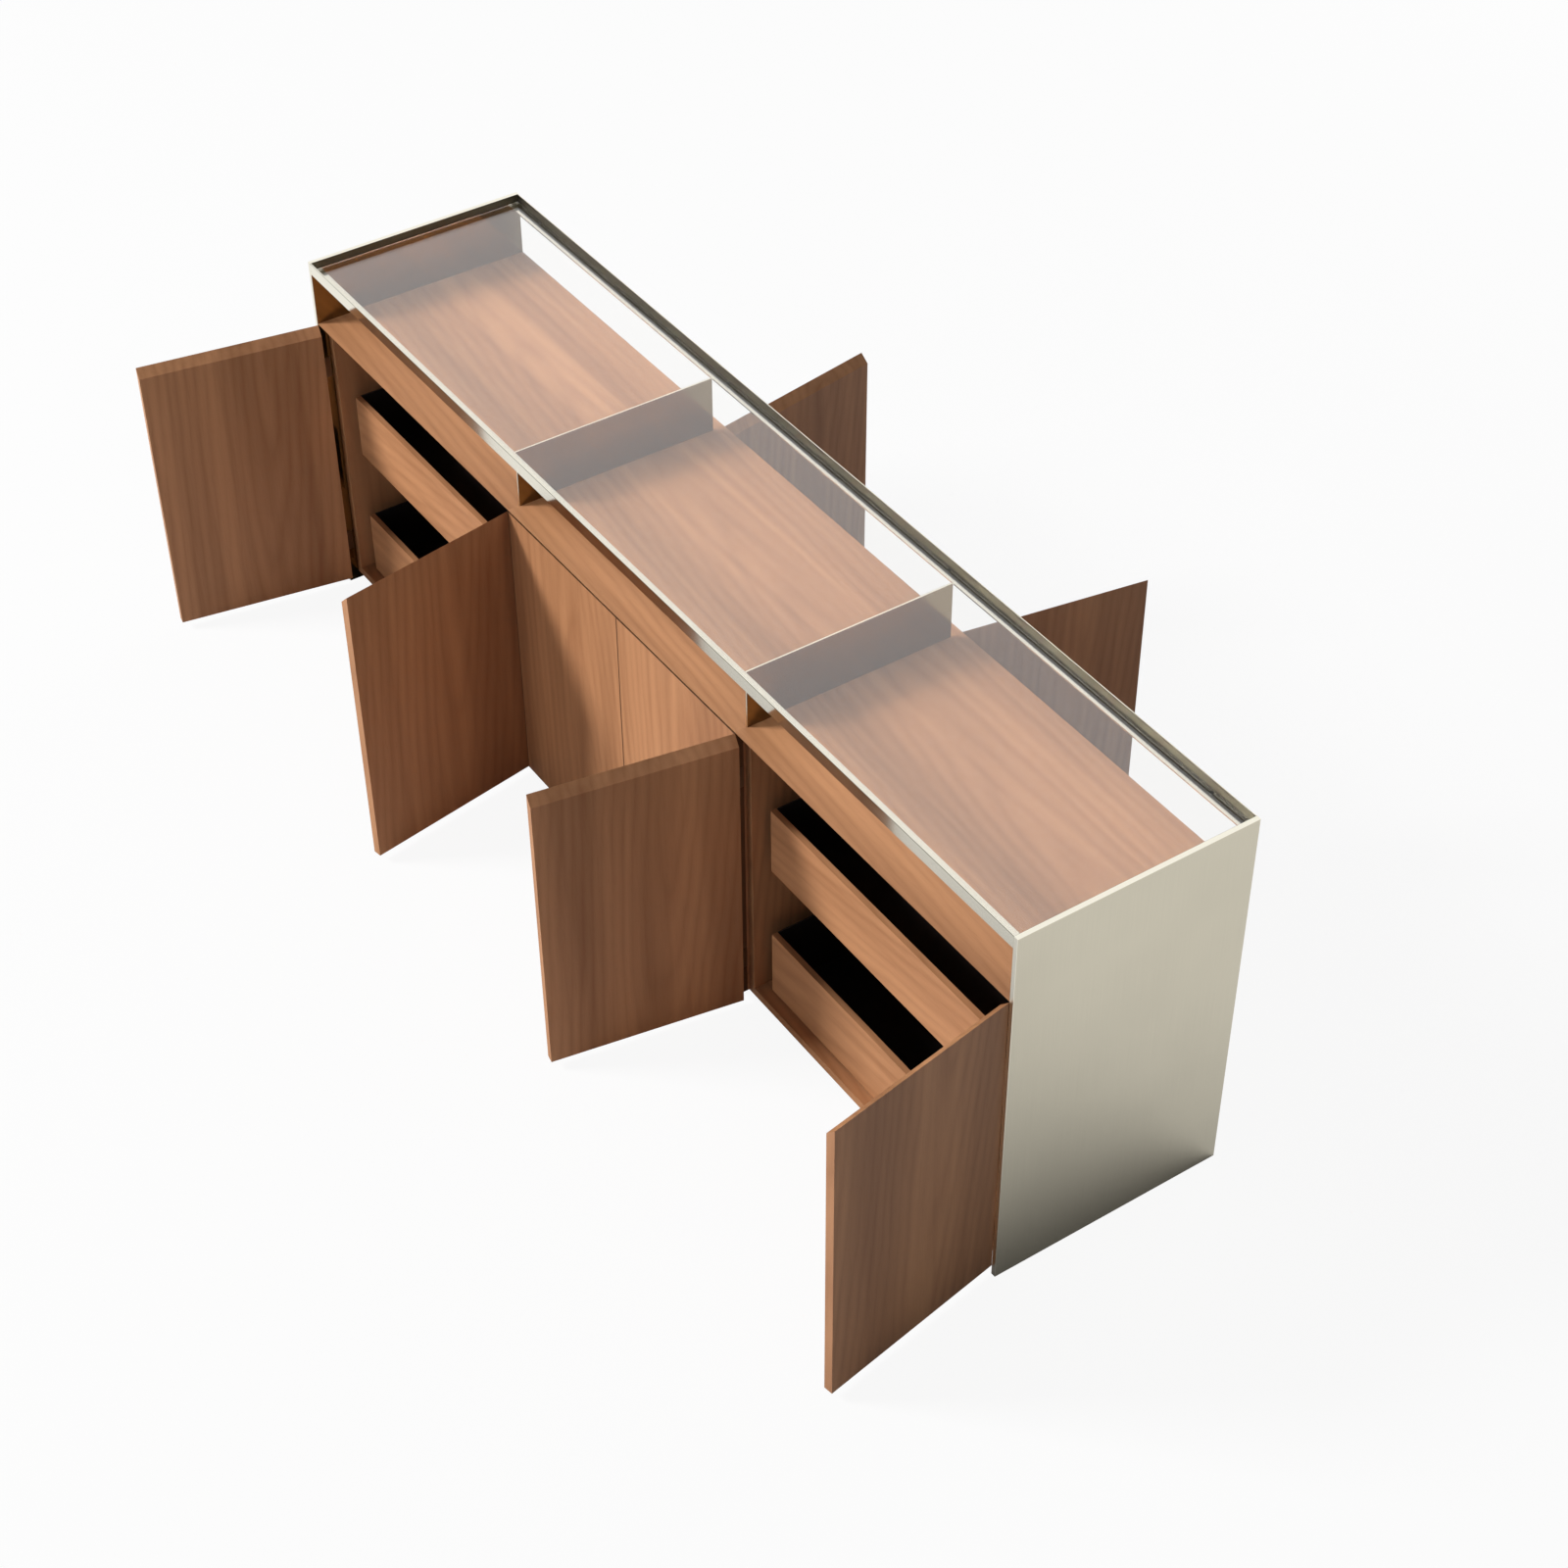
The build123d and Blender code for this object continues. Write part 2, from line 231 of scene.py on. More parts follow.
class MetalSettings(bpy.types.PropertyGroup):
    """Colour, polish and painted shade tints of the frame's metal."""

    champagne: bpy.props.FloatVectorProperty(
        name="Champagne",
        description="Colour of the satin end panels and dividers",
        subtype="COLOR",
        size=4,
        min=0,
        max=1,
        default=(0.690, 0.643, 0.514, 1),
    )
    bright: bpy.props.FloatVectorProperty(
        name="Bright champagne",
        description="Colour of the polished rails and of the plates' narrow edges",
        subtype="COLOR",
        size=4,
        min=0,
        max=1,
        default=(0.95, 0.91, 0.78, 1),
    )
    # Painted shade: a dark brown tint on the dividers' broad faces and the end panels' inner faces.
    # It stands in for the shade on them and for the shaded wood they mirror.
    painted_shade: bpy.props.FloatVectorProperty(
        name="Painted shade",
        description="Tint of the dividers' broad faces and of the end panels' inner faces",
        subtype="COLOR",
        size=4,
        min=0,
        max=1,
        default=(0.40, 0.29, 0.16, 1),
    )
    # Painted shade: a near-black tint on the frame's inner faces above the glass. It stands in for
    # the shade and dark reflections there.
    painted_rim_shade: bpy.props.FloatVectorProperty(
        name="Painted rim shade",
        description="Tint of the frame's inner faces beside and above the glass",
        subtype="COLOR",
        size=4,
        min=0,
        max=1,
        default=(0.16, 0.15, 0.13, 1),
    )
    satin: bpy.props.FloatProperty(
        name="Plate roughness",
        description="Roughness of the plates",
        min=0,
        max=1,
        default=0.30,
    )
    polished: bpy.props.FloatProperty(
        name="Rail roughness",
        description="Roughness of the polished rails",
        min=0,
        max=1,
        default=0.09,
    )
    bronze: bpy.props.FloatVectorProperty(
        name="Bronze",
        description="Colour of the hinges",
        subtype="COLOR",
        size=4,
        min=0,
        max=1,
        default=(0.22, 0.165, 0.125, 1),
    )
    zinc: bpy.props.FloatVectorProperty(
        name="Zinc",
        description="Colour of the runners and shelf pegs",
        subtype="COLOR",
        size=4,
        min=0,
        max=1,
        default=(0.55, 0.55, 0.53, 1),
    )


class GlassSettings(bpy.types.PropertyGroup):
    """Tint and reflection of the glass top."""

    coat: bpy.props.FloatProperty(
        name="Coat",
        description="Weight of the reflecting coat on the glass",
        min=0,
        max=1,
        default=0.43,
    )
    tint: bpy.props.FloatVectorProperty(
        name="Tint",
        description="Colour that the glass lets through",
        subtype="COLOR",
        size=4,
        min=0,
        max=1,
        default=(0.965, 0.962, 0.952, 1),
    )


class StageSettings(bpy.types.PropertyGroup):
    """Camera, lamps and sky."""

    yaw: bpy.props.FloatProperty(
        name="Yaw",
        description="Camera's turn round the object",
        subtype="ANGLE",
        default=math.radians(56.21),
    )
    pitch: bpy.props.FloatProperty(
        name="Pitch",
        description="Camera's height angle",
        subtype="ANGLE",
        default=math.radians(41.61),
    )
    roll: bpy.props.FloatProperty(
        name="Roll",
        description="Camera's tilt about its view",
        subtype="ANGLE",
        default=math.radians(-0.328),
    )
    distance: bpy.props.FloatProperty(
        name="Distance",
        description="From the camera to its target",
        subtype="DISTANCE",
        unit="LENGTH",
        default=5.995,
    )
    target: bpy.props.FloatVectorProperty(
        name="Target",
        description="Point in the middle of the picture",
        subtype="TRANSLATION",
        unit="LENGTH",
        size=3,
        default=(-0.054, 0.158, 0.020),
    )
    lens: bpy.props.FloatProperty(
        name="Lens",
        description="Focal length in millimetres",
        default=67.0,
    )
    key: bpy.props.FloatProperty(
        name="Key lamp",
        description="Power of the large lamp at the front left",
        subtype="POWER",
        unit="POWER",
        default=2400,
    )
    fill: bpy.props.FloatProperty(
        name="Fill lamp",
        description="Power of the wide side lamp",
        subtype="POWER",
        unit="POWER",
        default=60,
    )
    front: bpy.props.FloatProperty(
        name="Front lamp",
        description="Power of the wide front lamp",
        subtype="POWER",
        unit="POWER",
        default=200,
    )
    back: bpy.props.FloatProperty(
        name="Back lamp",
        description="Power of the wide rear lamp",
        subtype="POWER",
        unit="POWER",
        default=200,
    )
    sky: bpy.props.FloatProperty(
        name="Sky",
        description="Strength of the light from all round",
        default=0.08,
    )


# Node helpers


def new_material(name):
    """An empty node material with its tree and its output."""
    material = bpy.data.materials.new(name)
    material.use_nodes = True
    tree = material.node_tree
    tree.nodes.clear()
    return material, tree, tree.nodes.new("ShaderNodeOutputMaterial")


def add(tree, kind, **values):
    """A node of that kind; a value whose name is an input's sets it, any other sets a property."""
    node = tree.nodes.new(kind)
    for name, value in values.items():
        label = name.replace("_", " ")
        sockets = [s for s in node.inputs if s.name == label and s.enabled]
        if sockets:
            sockets[0].default_value = value
        else:
            setattr(node, name, value)
    return node


def feed(tree, value, socket):
    """Link another node's output to a socket, or set the socket to a plain value."""
    if isinstance(value, bpy.types.NodeSocket):
        tree.links.new(value, socket)
    else:
        socket.default_value = value


def worked(tree, operation, *values):
    """Result of a Math node on numbers and node outputs."""
    node = add(tree, "ShaderNodeMath", operation=operation)
    for value, socket in zip(values, node.inputs):
        feed(tree, value, socket)
    return node.outputs[0]


def worked_vector(tree, operation, *values):
    """Result of a Vector Math node on vectors and node outputs."""
    node = add(tree, "ShaderNodeVectorMath", operation=operation)
    for value, socket in zip(values, node.inputs):
        feed(tree, value, socket)
    return node.outputs["Value" if operation in ("LENGTH", "DOT_PRODUCT") else "Vector"]


def placed(tree, **values):
    """Object coordinates, scaled, turned and moved as a Mapping node does."""
    place = add(tree, "ShaderNodeTexCoord")
    mapping = add(tree, "ShaderNodeMapping", **values)
    tree.links.new(place.outputs["Object"], mapping.inputs["Vector"])
    return mapping.outputs["Vector"]


def noise(tree, vector, detail, roughness=0.5, distortion=0.0):
    """Smooth noise read at the given coordinates, from 0 to 1."""
    node = add(
        tree,
        "ShaderNodeTexNoise",
        Scale=1,
        Detail=detail,
        Roughness=roughness,
        Distortion=distortion,
    )
    tree.links.new(vector, node.inputs["Vector"])
    return node.outputs["Fac"]


def ramp(tree, value, stops):
    """Colours at places from 0 to 1, read at the value."""
    node = add(tree, "ShaderNodeValToRGB")
    elements = node.color_ramp.elements
    while len(elements) < len(stops):
        elements.new(0.5)
    for element, (place, colour) in zip(elements, stops):
        element.position = place
        element.color = colour
    tree.links.new(value, node.inputs["Fac"])
    return node.outputs["Color"]


def span(tree, value, low, high, start=0.0, stop=1.0):
    """The value moved from start..stop to low..high, and kept within them."""
    node = add(tree, "ShaderNodeMapRange", From_Min=start, From_Max=stop)
    feed(tree, value, node.inputs["Value"])
    feed(tree, low, node.inputs["To Min"])
    feed(tree, high, node.inputs["To Max"])
    return node.outputs["Result"]


def blended(tree, mode, *values):
    """Two colours mixed in the given way; the values are the amount and the colours."""
    node = add(tree, "ShaderNodeMix", data_type="RGBA", blend_type=mode)
    for value, index in zip(values, MIX_INPUTS):
        feed(tree, value, node.inputs[index])
    return node.outputs[MIX_RESULT]


def raised(tree, value, strength, distance):
    """A bump normal from a height value."""
    node = add(tree, "ShaderNodeBump", Strength=strength, Distance=distance)
    tree.links.new(value, node.inputs["Height"])
    return node.outputs["Normal"]


def surface(tree, output, colour, roughness, normal=None, **values):
    """A Principled shader with that colour, roughness and bump as the material's surface."""
    shader = add(tree, "ShaderNodeBsdfPrincipled", **values)
    tree.links.new(colour, shader.inputs["Base Color"])
    tree.links.new(roughness, shader.inputs["Roughness"])
    if normal:
        tree.links.new(normal, shader.inputs["Normal"])
    tree.links.new(shader.outputs["BSDF"], output.inputs["Surface"])


def mixed_surface(tree, output, *values):
    """Two shaders joined as the surface; the values are the amount and the shaders."""
    mix = add(tree, "ShaderNodeMixShader")
    for value, socket in zip(values, mix.inputs):
        tree.links.new(value, socket)
    tree.links.new(mix.outputs["Shader"], output.inputs["Surface"])


def grey(level):
    """A grey colour."""
    return (level, level, level, 1)


def dimmed(colour, factor):
    """A colour times a factor."""
    return tuple(factor * c for c in colour[:3]) + (1,)


# Finishes


def walnut(name, grain, settings, heart, leaf=None):
    """Walnut veneer cut from a log.

    The growth rings are cylinders r = |p - heart| round a pith that leans a little from the grain
    axis, so a board cut beside it shows long arches. Slow noise along the grain bends the rings,
    lets them fade in and out and shades the board in broad bands, and fine noise draws the pores.
    A leaf's box gives it painted shade along its edges: the shade in the seams and gaps where it
    meets its neighbours.
    """
    material, tree, output = new_material(name)

    def drawn(width, run, *detail):
        """Noise that is drawn out along the grain."""
        scale = tuple(1 / run if axis == grain else 1 / width for axis in range(3))
        return noise(tree, placed(tree, Scale=scale, Location=heart), *detail)

    lean = Euler(tuple(0 if axis == grain else settings.lean for axis in range(3)))
    shift = -(lean.to_matrix() @ Vector(heart))
    across = tuple(0 if axis == grain else 1 for axis in range(3))
    turned = placed(tree, Rotation=lean, Location=shift)
    radius = worked_vector(tree, "LENGTH", worked_vector(tree, "MULTIPLY", turned, across))
    bend = drawn(*RING_BEND, 3, 0.5)
    bent = worked(tree, "MULTIPLY_ADD", bend, BEND_RINGS * settings.ring, radius)
    rings = worked(tree, "PINGPONG", bent, settings.ring)
    year = span(tree, rings, 0.0, 1.0, 0.0, settings.ring)
    bands = drawn(*BROAD_BAND, 2, 0.5, 0.3)
    fade = drawn(*RING_FADE, 2, 0.5)
    streaks = drawn(settings.streak, STREAK_RUN, 4, 0.55, 0.4)
    pores = drawn(settings.fibre, PORE_RUN, 2, 0.6)
    pale, dark = tuple(settings.pale), tuple(settings.dark)
    middle = tuple(0.55 * p + 0.45 * d for p, d in zip(pale, dark))
    figure = blended(
        tree,
        "MIX",
        span(tree, fade, 0.0, MOST_RINGS),
        ramp(tree, streaks, [(0.32, dark), (0.50, middle), (0.68, pale)]),
        ramp(tree, year, [(0.05, pale), (0.60, middle), (0.95, dark)]),
    )
    tone = ramp(tree, bands, [(0.34, BAND_TINT), (0.62, grey(1.0))])
    lines = ramp(tree, pores, [(0.28, grey(PORE_GREY)), (0.45, grey(1.0))])
    colour = blended(tree, "MULTIPLY", 1.0, blended(tree, "MULTIPLY", 1.0, figure, tone), lines)
    # A fixed leaf gets painted shade along its edges
    if leaf:
        colour = blended(tree, "MULTIPLY", 1.0, colour, painted_seam_shade(tree, *leaf))
    rough = span(tree, pores, settings.gloss + 0.10, settings.gloss - 0.06)
    normal = raised(tree, pores, 0.03, 0.0002)
    surface(tree, output, colour, rough, normal, Specular_IOR_Level=LACQUER)
    return material


def painted_seam_shade(tree, low, high):
    """Painted shade: dark lines along an upright leaf's edges, where its seams and gaps are.

    They follow the distance to the nearest edge, half - |p - middle|.
    """
    half, middle = (high - low) / 2, (high + low) / 2
    away = worked_vector(tree, "ABSOLUTE", placed(tree, Location=-middle))
    inset = worked_vector(tree, "SUBTRACT", half, away)
    split = add(tree, "ShaderNodeSeparateXYZ")
    tree.links.new(inset, split.inputs["Vector"])
    nearest = worked(tree, "MINIMUM", split.outputs["X"], split.outputs["Z"])
    inner = span(tree, nearest, 0.0, 1.0, 0.0, SEAM_SHADE_WIDTH)
    return ramp(tree, inner, [(0.55, grey(SEAM_SHADE_GREY)), (1.0, grey(1.0))])


def metal(name, colour, roughness, brush, spread=SATIN_SPREAD, faces=None):
    """Metal with fine brush lines.

    Noise that is drawn out along one axis moves the roughness and the tone.
    """
    material, tree, output = new_material(name)
    scale = tuple(BRUSH_ALONG if axis == brush else BRUSH_ACROSS for axis in range(3))
    lines = noise(tree, placed(tree, Scale=scale), 3, 0.6)
    clouds = noise(tree, placed(tree, Scale=CLOUDS), 2)
    tone = ramp(tree, lines, [(0.25, dimmed(colour, 0.94)), (0.75, tuple(colour))])
    shade = ramp(tree, clouds, [(0.3, grey(0.96)), (0.7, grey(1.0))])
    base = blended(tree, "MULTIPLY", 1.0, tone, shade)
    rough = span(tree, lines, roughness - spread / 2, roughness + spread / 2)
    # Faces that get painted shade tints and their own roughness
    if faces:
        base, rough = faces_with_painted_shade(tree, faces, base, rough)
    surface(tree, output, base, rough, Metallic=1.0)
    return material


def faces_with_painted_shade(tree, faces, base, rough):
    """Colour and roughness of a plate whose faces get tints that paint shade on them, and a
    roughness of their own.
    """
    spot = add(tree, "ShaderNodeSeparateXYZ")
    place = add(tree, "ShaderNodeTexCoord")
    tree.links.new(place.outputs["Object"], spot.inputs["Vector"])
    half = worked(tree, "ABSOLUTE", spot.outputs[faces.axis])
    depth = worked(tree, "ABSOLUTE", worked(tree, "SUBTRACT", half, faces.plane))
    broad = span(tree, depth, 0.0, 1.0, faces.reach - 2 * SKIN, faces.reach - SKIN)
    above = span(tree, spot.outputs["Z"], 0.0, 1.0, faces.height - SKIN, faces.height)
    tint = ramp(tree, above, [(0.0, faces.below[0]), (1.0, faces.above[0])])
    base = blended(tree, "MULTIPLY", broad, base, tint)
    if faces.edge_colour:
        past = span(tree, depth, 0.0, 1.0, faces.edge_depth, faces.edge_depth + SKIN)
        narrow = worked(tree, "SUBTRACT", past, broad)
        base = blended(tree, "MIX", narrow, base, faces.edge_colour)
    factor = span(tree, above, faces.below[1], faces.above[1])
    return base, worked(tree, "MULTIPLY", rough, span(tree, broad, 1.0, factor))


def clear_glass(name, tint, coat):
    """Polished float glass that lets lamp light through to the tray below it."""
    material, tree, output = new_material(name)
    shader = add(
        tree,
        "ShaderNodeBsdfPrincipled",
        Base_Color=tint,
        Roughness=0.0,
        IOR=GLASS_IOR,
        Transmission_Weight=1.0,
        Coat_Weight=coat,
        Coat_IOR=COAT_IOR,
    )
    clear = add(tree, "ShaderNodeBsdfTransparent", Color=dimmed(tint, LAMP_SHARE))
    shadow = add(tree, "ShaderNodeLightPath").outputs["Is Shadow Ray"]
    mixed_surface(tree, output, shadow, shader.outputs["BSDF"], clear.outputs["BSDF"])
    return material


def powder_coat(name, colour, roughness):
    """Matt coating with a fine orange peel and faint scuffs."""
    material, tree, output = new_material(name)
    peel = noise(tree, placed(tree, Scale=PEEL), 2)
    scuffs = noise(tree, placed(tree, Scale=SCUFFS), 4, 0.6)
    pale = tuple(min(1, 1.5 * c + 0.004) for c in colour[:3]) + (1,)
    tone = ramp(tree, scuffs, [(0.45, tuple(colour)), (0.8, pale)])
    rough = span(tree, scuffs, roughness + 0.08, roughness - 0.08)
    surface(tree, output, tone, rough, raised(tree, peel, 0.15, 0.0002))
    return material


def finish_node(name, material):
    """Give a solid of the frame one material."""
    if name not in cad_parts:
        raise RuntimeError(f"the frame has no piece named {name}")
    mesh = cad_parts[name].data
    mesh.materials.clear()
    mesh.materials.append(material)


# Operators


class SIDEBOARD_OT_walnut(bpy.types.Operator):
    """Veneer the cabinets, doors and drawer fronts"""

    bl_idname = "sideboard.walnut"
    bl_label = "Walnut boards"

    def execute(self, context):
        settings = context.scene.sideboard_walnut
        upright = walnut("walnut upright grain", Z, settings, UPRIGHT_PITH)
        level = walnut("walnut level grain", X, settings, LEVEL_PITH)
        for cabinet in CABINETS:
            for side in SIDES:
                finish_node(f"{cabinet}_cabinet_{side}_side", upright)
                panel = f"{cabinet}_fixed_{side}_panel"
                # Fixed panels get painted shade along their edges, where the seams and gaps are
                self.veneer(panel, Z, settings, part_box(panel))
            self.veneer(f"{cabinet}_cabinet_top", X, settings)
            finish_node(f"{cabinet}_cabinet_bottom", level)
        for door in DOORS:
            self.veneer(f"{door}_door", Z, settings)
        for drawer in DRAWERS:
            finish_node(f"{drawer}_drawer_front", level)
        finish_node("middle_shelf", level)
        finish_node("runner_battens", walnut("walnut batten", Y, settings, BATTEN_PITH))
        return {"FINISHED"}

    def veneer(self, name, grain, settings, edges=None):
        """Give a board a leaf of its own, with the pith a little to one side of its middle."""
        corners = [Vector(corner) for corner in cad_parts[name].bound_box]
        heart = tuple(sum(corners, Vector()) / len(corners) + PITH_ASIDE[grain])
        title = f"walnut {name.replace('_', ' ')}"
        finish_node(name, walnut(title, grain, settings, heart, edges))


class SIDEBOARD_OT_metal_frame(bpy.types.Operator):
    """Finish the end panels, rails and dividers in champagne metal"""

    bl_idname = "sideboard.metal_frame"
    bl_label = "Metal frame"

    def execute(self, context):
        settings = context.scene.sideboard_metal
        champagne, satin = settings.champagne, settings.satin
        bright, painted_rim_shade = tuple(settings.bright), tuple(settings.painted_rim_shade)
        # Painted shade tint for the dividers' broad faces and the end panels' inner faces, with its
        # roughness factor
        painted_shade = (tuple(settings.painted_shade), SHADED_FACE_POLISH)
        plain = (grey(1.0), 1.0)
        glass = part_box("glass_top")
        under = glass[0].z
        inner, outer = (corner.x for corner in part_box("right_end_panel"))
        near, far = (corner.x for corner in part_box("right_divider"))
        middle, half = (near + far) / 2, (far - near) / 2
        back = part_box("back_rail")[1].y
        wall = back - glass[1].y - GLASS_GAP
        # Painted shade: end panels' inner faces and dividers get the shade tint, and the inner
        # faces above the glass the darker rim shade tint
        inside = Faces("X", outer, outer - inner, under, painted_shade, (painted_rim_shade, PLATE_RIM), SKIN, bright)
        both = Faces("X", middle, half, under, painted_shade, painted_shade, -SKIN, bright)
        leg = Faces("Y", back, wall, under, plain, (painted_rim_shade, RAIL_RIM))
        plate = metal("champagne plate", champagne, satin, Z, faces=inside)
        rail = metal("champagne rail", settings.bright, settings.polished, X, POLISHED_SPREAD, leg)
        divider = metal("champagne divider", champagne, satin, Y, faces=both)
        for end in SIDES:
            finish_node(f"{end}_end_panel", plate)
            finish_node(f"{end}_divider", divider)
        for face in ("front", "back"):
            finish_node(f"{face}_rail", rail)
        return {"FINISHED"}


class SIDEBOARD_OT_glass(bpy.types.Operator):
    """Make the top clear glass"""

    bl_idname = "sideboard.glass"
    bl_label = "Glass top"

    def execute(self, context):
        settings = context.scene.sideboard_glass
        finish_node("glass_top", clear_glass("clear glass", tuple(settings.tint), settings.coat))
        finish_node("glass_pads", powder_coat("soft pads", *PADS))
        return {"FINISHED"}


class SIDEBOARD_OT_trays(bpy.types.Operator):
    """Coat the drawer trays matt black"""

    bl_idname = "sideboard.trays"
    bl_label = "Drawer trays"

    def execute(self, context):
        black = powder_coat("black tray", *TRAY)
        for drawer in DRAWERS:
            finish_node(f"{drawer}_drawer_tray", black)
        return {"FINISHED"}


class SIDEBOARD_OT_hardware(bpy.types.Operator):
    """Finish the hinges, runners, shelf pegs and feet"""

    bl_idname = "sideboard.hardware"
    bl_label = "Hinges, runners and feet"

    def execute(self, context):
        settings = context.scene.sideboard_metal
        bronze = metal("bronze hinge", settings.bronze, HINGE_ROUGHNESS, Z)
        zinc = metal("zinc runner", settings.zinc, RUNNER_ROUGHNESS, Y)
        finish_node("hinge_frame_leaves", bronze)
        for door in DOORS:
            finish_node(f"{door}_door_leaves", bronze)
        finish_node("runner_channels", zinc)
        finish_node("shelf_pegs", zinc)
        for drawer in DRAWERS:
            finish_node(f"{drawer}_drawer_rails", zinc)
        finish_node("levelling_feet", powder_coat("black foot", *FOOT))
        return {"FINISHED"}


class SIDEBOARD_OT_stage(bpy.types.Operator):
    """Set up the floor, lamps, sky and camera"""

    bl_idname = "sideboard.stage"
    bl_label = "Stage"

    def execute(self, context):
        settings = context.scene.sideboard_stage
        self.make_floor(context)
        self.make_sky(context, settings)
        self.make_lamps(context, settings)
        self.make_camera(context, settings)
        context.scene.view_settings.view_transform = "Standard"
        return {"FINISHED"}

    def make_floor(self, context):
        """A wide pale floor: a flat grid of points, spaced evenly both ways."""
        steps = np.linspace(-FLOOR_HALF, FLOOR_HALF, FLOOR_POINTS)
        x, y = np.meshgrid(steps, steps)
        points = np.stack([x.ravel(), y.ravel(), np.zeros(x.size)], axis=1)
        row = np.arange(FLOOR_POINTS - 1)
        start = (row[:, None] * FLOOR_POINTS + row[None, :]).ravel()
        above = start + FLOOR_POINTS
        quads = np.stack([start, start + 1, above + 1, above], axis=1)
        mesh = bpy.data.meshes.new("floor")
        mesh.from_pydata(points.tolist(), [], quads.tolist())
        floor = bpy.data.objects.new("floor", mesh)
        context.scene.collection.objects.link(floor)
        mesh.materials.append(self.floor_paint())

    def floor_paint(self):
        """Pale paint, nearly white to the camera; metal and glass see it darken near the object."""
        material, tree, output = new_material("pale floor")
        paint = add(
            tree,
            "ShaderNodeBsdfPrincipled",
            Base_Color=grey(FLOOR_GREY),
            Roughness=0.9,
            Specular_IOR_Level=0.0,
        )
        path = add(tree, "ShaderNodeLightPath").outputs
        near = add(tree, "ShaderNodeAmbientOcclusion", samples=NEAR_SAMPLES, Distance=NEAR_REACH)
        shade = span(tree, near.outputs["AO"], 0.0, FAR_WHITE, *NEAR_OPEN)
        seen = worked(tree, "MAXIMUM", path["Is Camera Ray"], path["Is Transmission Ray"])
        direct = worked(tree, "MULTIPLY", seen, SEEN_WHITE)
        mirrored = worked(tree, "MULTIPLY", path["Is Glossy Ray"], MIRRORED_WHITE)
        part = worked(tree, "MAXIMUM", direct, mirrored)
        white = add(tree, "ShaderNodeEmission")
        tree.links.new(worked(tree, "MAXIMUM", seen, shade), white.inputs["Strength"])
        mixed_surface(tree, output, part, paint.outputs["BSDF"], white.outputs["Emission"])
        return material

    def make_sky(self, context, settings):
        """Even light from all round; metal and glass see it white, with a dark patch."""
        world = bpy.data.worlds.new("studio sky")
        context.scene.world = world
        world.use_nodes = True
        tree = world.node_tree
        tree.nodes.clear()
        output = tree.nodes.new("ShaderNodeOutputWorld")
        light = add(tree, "ShaderNodeBackground", Color=grey(1.0), Strength=settings.sky)
        white = add(tree, "ShaderNodeBackground", Color=grey(1.0))
        path = add(tree, "ShaderNodeLightPath").outputs
        place = add(tree, "ShaderNodeTexCoord").outputs["Generated"]
        toward = worked_vector(tree, "DOT_PRODUCT", place, PATCH_MIDDLE)
        shade = span(tree, toward, 1.0, PATCH_LEVEL, *PATCH_EDGE)
        level = worked(tree, "MAXIMUM", path["Is Camera Ray"], shade)
        tree.links.new(level, white.inputs["Strength"])
        first = worked(tree, "MAXIMUM", path["Is Camera Ray"], path["Is Glossy Ray"])
        seen = worked(tree, "MAXIMUM", first, path["Is Transmission Ray"])
        mixed_surface(
            tree, output, seen, light.outputs["Background"], white.outputs["Background"]
        )

    def make_lamps(self, context, settings):
        """Square lamps that face the sideboard and aren't mirrored in the metal and glass."""
        for name, setting, size, place in LAMPS:
            light = bpy.data.lights.new(name, "AREA")
            light.size = size
            light.energy = getattr(settings, setting)
            lamp = bpy.data.objects.new(name, light)
            aim = (LAMP_AIM - place).to_track_quat("-Z", "Y")
            lamp.matrix_world = Matrix.Translation(place) @ aim.to_matrix().to_4x4()
            lamp.visible_glossy = False
            context.scene.collection.objects.link(lamp)

    def make_camera(self, context, settings):
        """Camera on a sphere round its target, turned by yaw, pitch and roll."""
        back = Vector(
            (
                math.sin(settings.yaw) * math.cos(settings.pitch),
                -math.cos(settings.yaw) * math.cos(settings.pitch),
                math.sin(settings.pitch),
            )
        )
        level = Vector((math.cos(settings.yaw), math.sin(settings.yaw), 0))
        rise = back.cross(level)
        right = math.cos(settings.roll) * level + math.sin(settings.roll) * rise
        up = math.cos(settings.roll) * rise - math.sin(settings.roll) * level
        turn = Matrix((right, up, back)).transposed().to_4x4()
        lens = bpy.data.cameras.new("camera")
        lens.lens = settings.lens
        lens.sensor_width = SENSOR_WIDTH
        lens.clip_end = VIEW_DEPTH
        camera = bpy.data.objects.new("camera", lens)
        place = Vector(settings.target) + back * settings.distance
        camera.matrix_world = Matrix.Translation(place) @ turn
        context.scene.collection.objects.link(camera)
        context.scene.camera = camera


class SIDEBOARD_PT_panel(bpy.types.Panel):
    """Lists the sideboard's finishes and its stage"""

    bl_idname = "SIDEBOARD_PT_panel"
    bl_label = "Sideboard"
    bl_space_type = "VIEW_3D"
    bl_region_type = "UI"
    bl_category = "Sideboard"

    def draw(self, context):
        for settings in SETTINGS:
            group = getattr(context.scene, settings)
            box = self.layout.box()
            for name in type(group).__annotations__:
                box.prop(group, name)
        for operator in OPERATORS:
            self.layout.operator(operator.bl_idname)


SETTINGS = {
    "sideboard_walnut": WalnutSettings,
    "sideboard_metal": MetalSettings,
    "sideboard_glass": GlassSettings,
    "sideboard_stage": StageSettings,
}
OPERATORS = (
    SIDEBOARD_OT_walnut,
    SIDEBOARD_OT_metal_frame,
    SIDEBOARD_OT_glass,
    SIDEBOARD_OT_trays,
    SIDEBOARD_OT_hardware,
    SIDEBOARD_OT_stage,
)


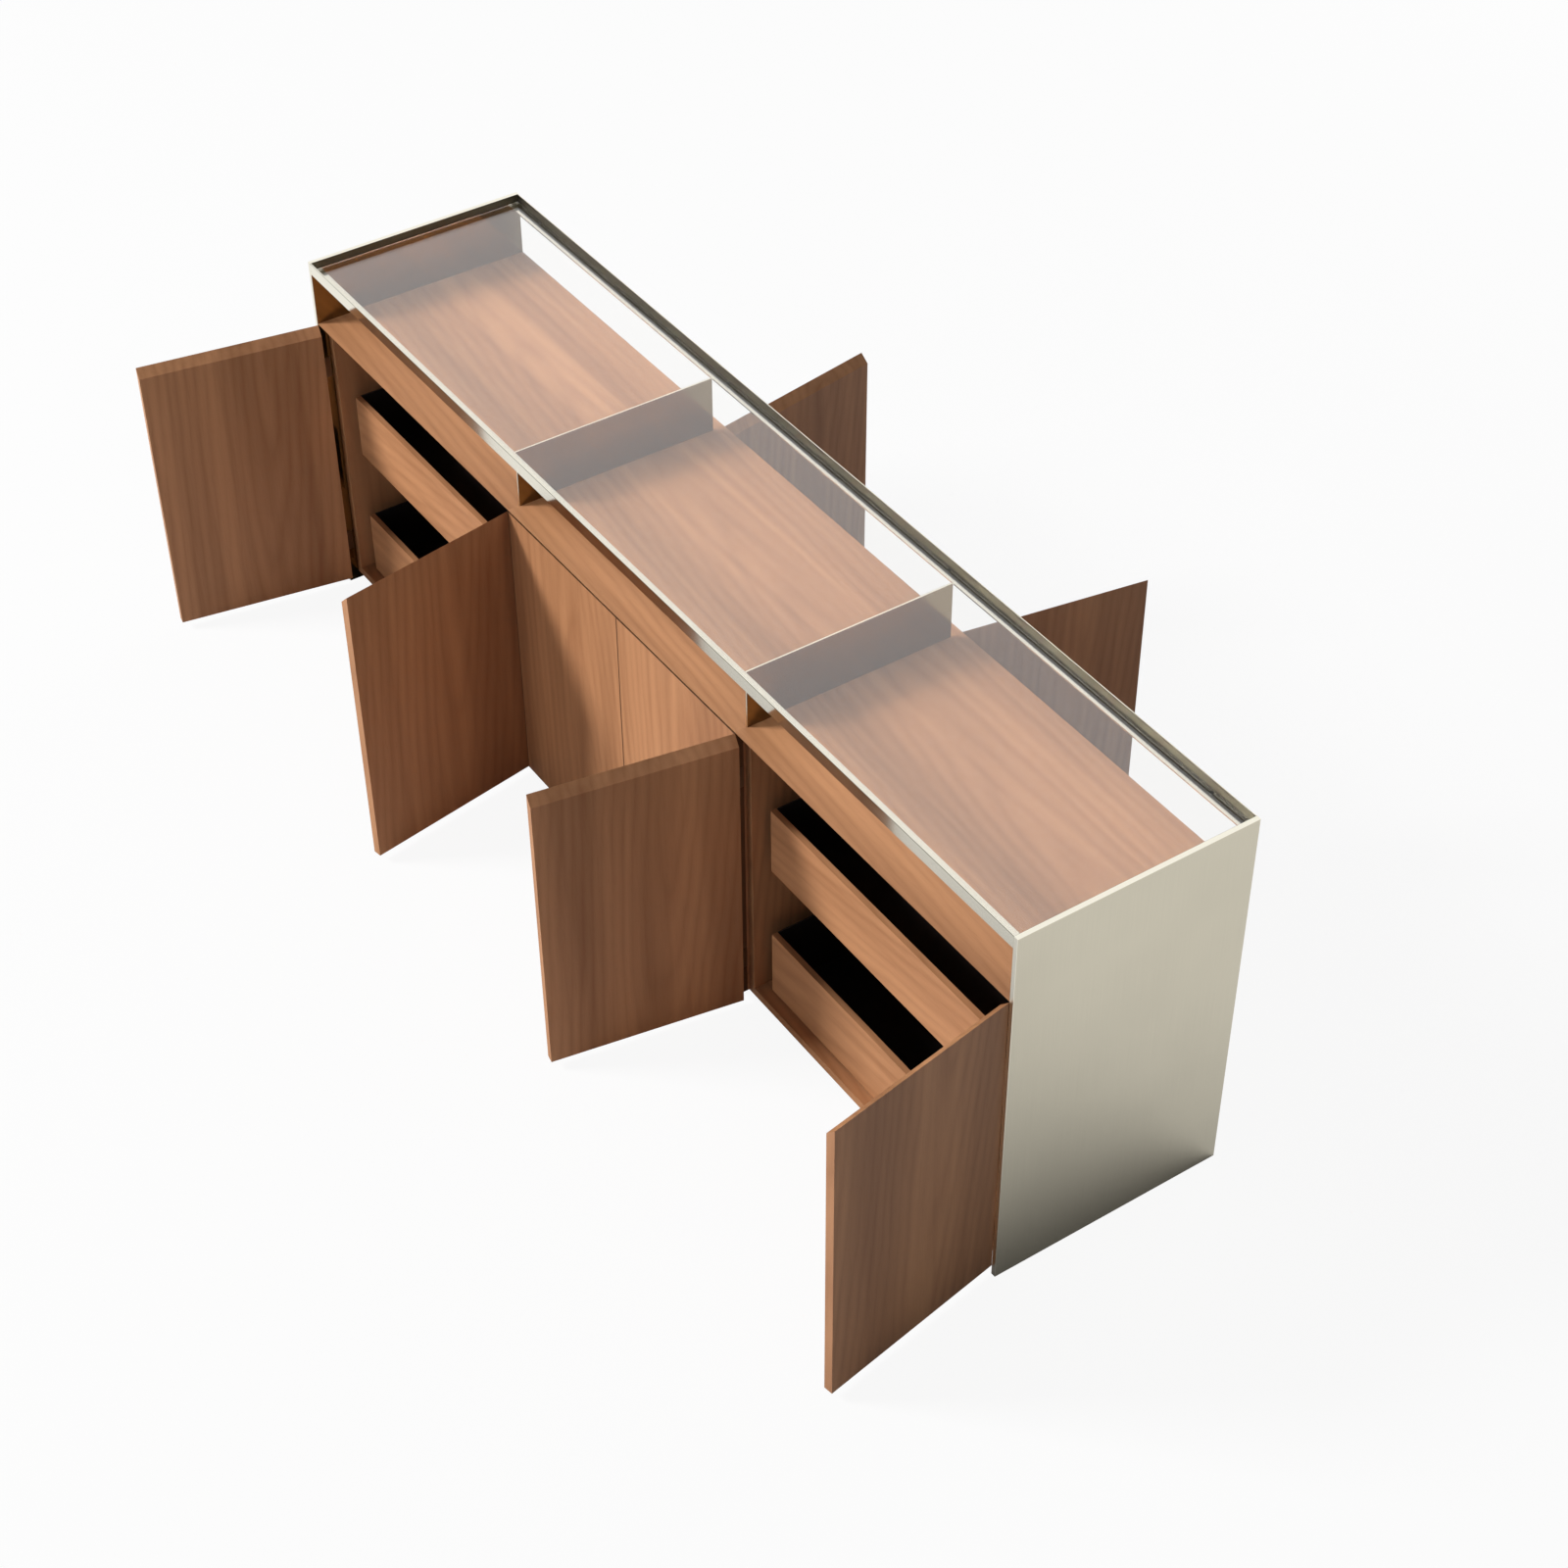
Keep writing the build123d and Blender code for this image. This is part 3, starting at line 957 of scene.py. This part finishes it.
def register():
    for name, group in SETTINGS.items():
        bpy.utils.register_class(group)
        setattr(bpy.types.Scene, name, bpy.props.PointerProperty(type=group))
    for item in OPERATORS + (SIDEBOARD_PT_panel,):
        bpy.utils.register_class(item)


def unregister():
    for item in (SIDEBOARD_PT_panel,) + OPERATORS[::-1]:
        bpy.utils.unregister_class(item)
    for name, group in SETTINGS.items():
        delattr(bpy.types.Scene, name)
        bpy.utils.unregister_class(group)


def main():
    register()
    bpy.ops.sideboard.walnut()
    bpy.ops.sideboard.metal_frame()
    bpy.ops.sideboard.glass()
    bpy.ops.sideboard.trays()
    bpy.ops.sideboard.hardware()
    bpy.ops.sideboard.stage()


if __name__ == "__main__":
    main()
